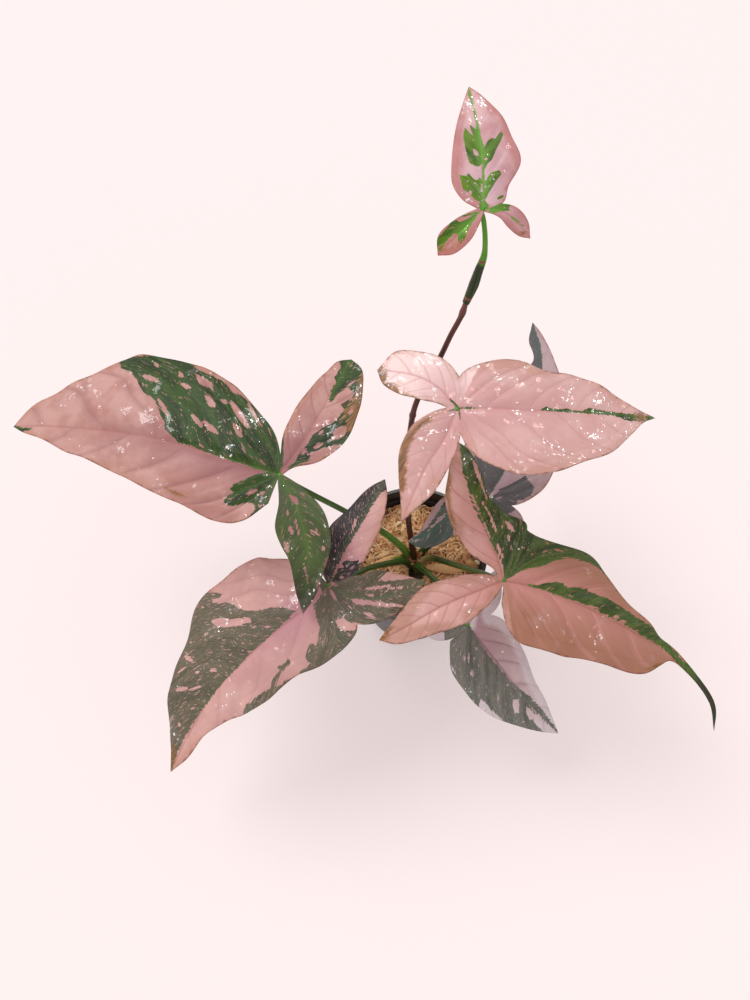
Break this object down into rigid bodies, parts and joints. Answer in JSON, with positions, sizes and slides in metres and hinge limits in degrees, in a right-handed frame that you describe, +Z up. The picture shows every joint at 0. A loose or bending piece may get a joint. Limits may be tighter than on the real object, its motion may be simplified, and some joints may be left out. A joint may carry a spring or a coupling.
{
  "type": "potted arrowhead plant",
  "caption": "Variegated climbing foliage plant with arrow-shaped three-lobed leaves on slender petioles, in a small round plastic nursery pot filled with coarse husk.",
  "frame": {"origin": "centre of the pot's base, on the surface that the pot stands on", "axes": "+Z up, +Y towards the back of the plant, +X to its right as it is seen from the front"},
  "size_m": [0.4098, 0.2836, 0.2943],
  "materials": {
    "pot_plastic": "black, thin, semi-gloss",
    "substrate": "loose tan and reddish-brown husk fibres and chips, damp",
    "woody_stem": "dark maroon-brown, smooth and slightly waxy",
    "green_petiole": "fleshy green stalk with a soft sheen",
    "leaf_blade": "salmon-pink and dark green variegated blade, wet and glossy above, paler and duller below"
  },
  "bodies": {
    "root": {"pot": "pot_plastic", "substrate": "substrate", "stem": "woody_stem", "young_shoot": "green_petiole", "petiole_left": "green_petiole", "petiole_front_left": "green_petiole", "petiole_lower_right": "green_petiole", "petiole_bottom": "green_petiole", "petiole_back": "green_petiole", "petiole_upper_right": "green_petiole", "petiole_top": "green_petiole", "leaf_left": "leaf_blade", "leaf_front_left": "leaf_blade", "leaf_upper_right": "leaf_blade", "leaf_lower_right": "leaf_blade", "leaf_bottom": "leaf_blade", "leaf_back": "leaf_blade", "leaf_top": "leaf_blade"}
  },
  "joints": []
}
